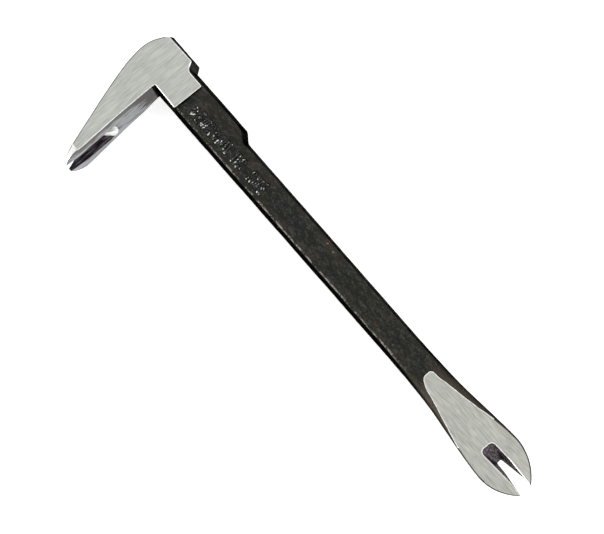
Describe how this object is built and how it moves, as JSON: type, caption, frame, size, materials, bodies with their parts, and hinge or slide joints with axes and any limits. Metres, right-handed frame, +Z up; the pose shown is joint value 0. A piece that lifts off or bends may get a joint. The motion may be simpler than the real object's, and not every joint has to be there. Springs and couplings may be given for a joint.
{
  "type": "pry bar",
  "caption": "Forged steel nail-pulling pry bar: an L-shaped head with a slotted claw, a striking boss, a black shank and a flat spade-shaped tail with a nail slot.",
  "frame": {"origin": "under the middle of the bar's bounding box, on the surface that it lies on with its broad side down", "axes": "+X along the shank from the head to the tail, +Y across the broad side away from the claw arm, +Z up through the bar's thickness, towards its front face"},
  "size_m": [0.25, 0.0662, 0.0177],
  "materials": {
    "ground_steel": "ground steel with a fine grain",
    "black_forging": "black forged skin, satin, slightly rough"
  },
  "bodies": {
    "root": {"heel_block": "ground_steel", "claw_arm": "ground_steel", "claw_prong_front": "ground_steel", "claw_prong_back": "ground_steel", "neck": "black_forging", "forging_mark": "black_forging", "shank": "black_forging", "tail_blade": "ground_steel", "tail_prong_upper": "ground_steel", "tail_prong_lower": "ground_steel"}
  },
  "joints": []
}
